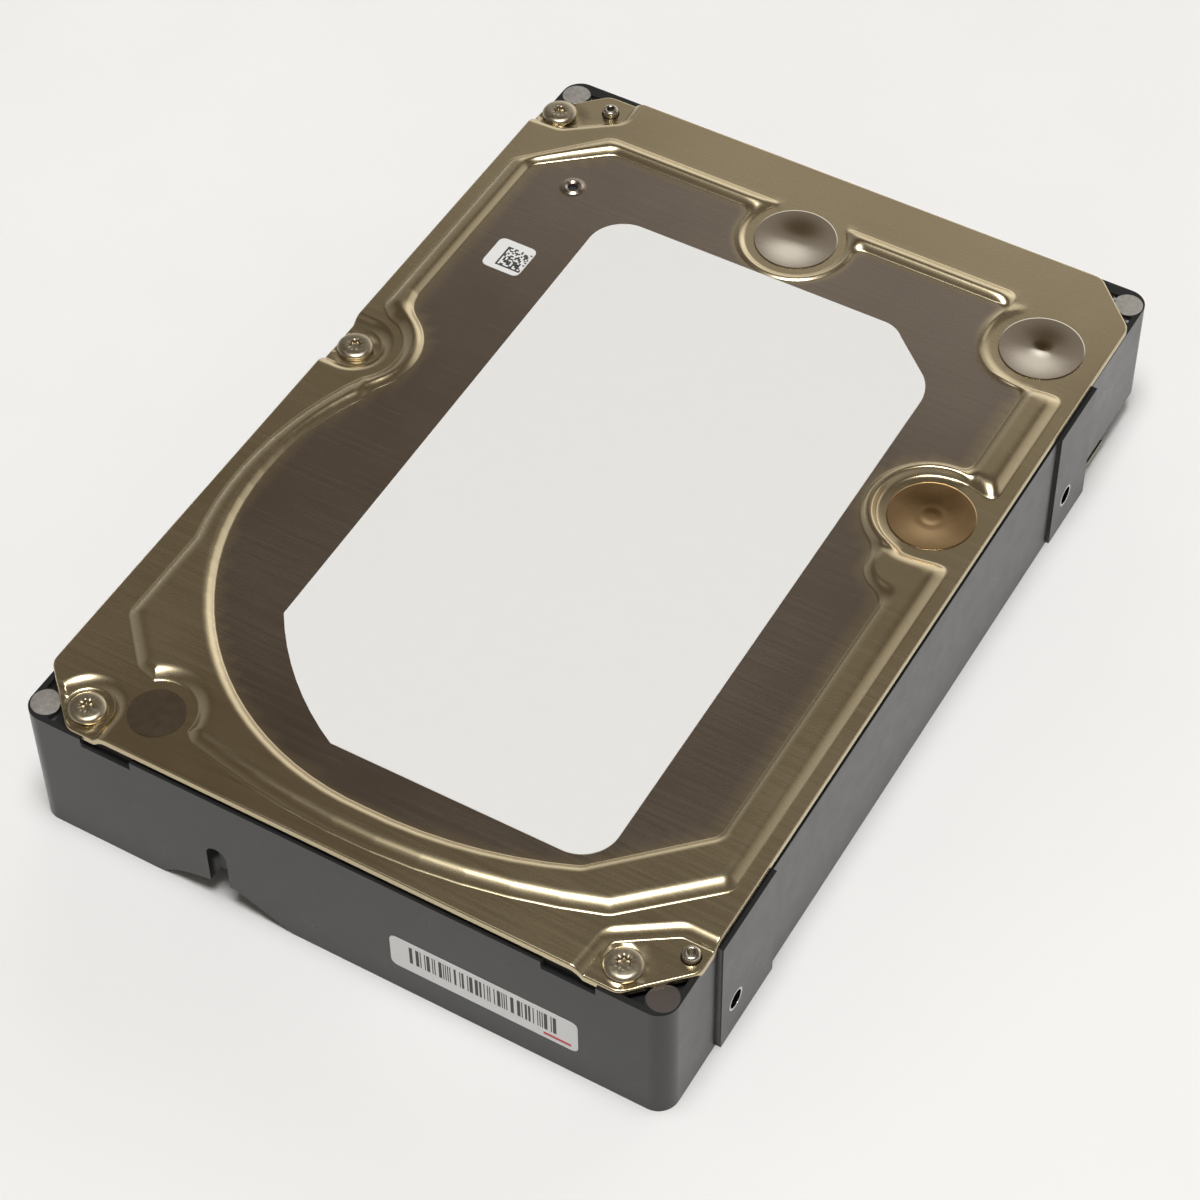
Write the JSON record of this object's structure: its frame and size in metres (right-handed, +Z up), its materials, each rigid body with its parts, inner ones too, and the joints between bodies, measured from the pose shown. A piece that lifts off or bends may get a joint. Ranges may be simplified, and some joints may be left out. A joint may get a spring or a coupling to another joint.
{
  "type": "hard disk drive",
  "caption": "Sealed 3.5-inch hard disk drive with a black cast base, stamped steel cover, spinning disc stack and a swinging head actuator parked on its ramp.",
  "frame": {"origin": "middle of the drive at the bottom of the casting", "axes": "+X across the drive, +Y from the front end to the connector end, +Z up to the cover"},
  "size_m": [0.1016, 0.147, 0.0254],
  "materials": {
    "casting_paint": "satin black",
    "cover_steel": "fine brushed, warm",
    "screw_steel": "satin",
    "bright_steel": "ground",
    "gasket_rubber": "matte",
    "seal_foil": "polished foil",
    "dark_film": "satin film",
    "label_film": "matte white",
    "machined_aluminium": "machined",
    "disc_mirror": "mirror",
    "stator_steel": "laminated",
    "copper_wire": "enamelled copper",
    "magnet_nickel": "nickel plated",
    "black_plastic": "matte",
    "ramp_plastic": "matte cream",
    "slider_ceramic": "black ceramic",
    "board_green": "solder mask",
    "contact_gold": "gold plated",
    "flex_amber": "polyimide film",
    "filter_cloth": "fibre",
    "foam_black": "foam film"
  },
  "bodies": {
    "base": {"base_casting": "casting_paint", "top_cover": "cover_steel", "cover_gasket": "gasket_rubber", "cover_screws": "screw_steel", "locating_pins": "bright_steel", "foil_seals": "seal_foil", "dark_seal": "dark_film", "top_label": "label_film", "code_label": "label_film", "front_label": "label_film", "breather_filter": "foam_black", "motor_bracket": "machined_aluminium", "spindle_shaft": "bright_steel", "stator_core": "stator_steel", "stator_windings": "copper_wire", "pivot_shaft": "bright_steel", "pivot_bearings": "bright_steel", "vcm_lower_yoke": "magnet_nickel", "vcm_upper_yoke": "magnet_nickel", "lower_magnet": "magnet_nickel", "upper_magnet": "magnet_nickel", "yoke_posts": "bright_steel", "vcm_screws": "screw_steel", "crash_stops": "gasket_rubber", "load_ramp": "ramp_plastic", "ramp_screw": "screw_steel", "recirculation_filter": "filter_cloth", "head_connector": "black_plastic", "flex_cable": "flex_amber", "circuit_board": "board_green", "board_insulator": "foam_black", "board_screws": "screw_steel", "controller_chip": "black_plastic", "memory_chip": "black_plastic", "motor_driver_chip": "black_plastic", "sata_plug": "black_plastic", "sata_contacts": "contact_gold", "jumper_shell": "black_plastic", "jumper_pins": "contact_gold", "motor_flex": "flex_amber", "motor_contacts": "black_plastic"},
    "spindle": {"spindle_hub": "machined_aluminium", "rotor_magnet": "magnet_nickel", "platter_1": "disc_mirror", "platter_2": "disc_mirror", "platter_3": "disc_mirror", "platter_spacers": "machined_aluminium", "disk_clamp": "machined_aluminium", "clamp_screws": "screw_steel"},
    "actuator": {"pivot_sleeve": "bright_steel", "arm_block": "machined_aluminium", "suspensions": "bright_steel", "head_sliders": "slider_ceramic", "voice_coil": "copper_wire", "coil_frame": "black_plastic"}
  },
  "joints": [
    {"name": "spindle_spin", "type": "hinge", "parent": "base", "child": "spindle", "pos_m": [0, -0.0223, 0.013], "axis": [0, 0, 1], "continuous": true},
    {"name": "actuator_swing", "type": "hinge", "parent": "base", "child": "actuator", "pos_m": [-0.014, 0.032, 0.0134], "axis": [0, 0, -1], "range_deg": [0, 36]}
  ]
}
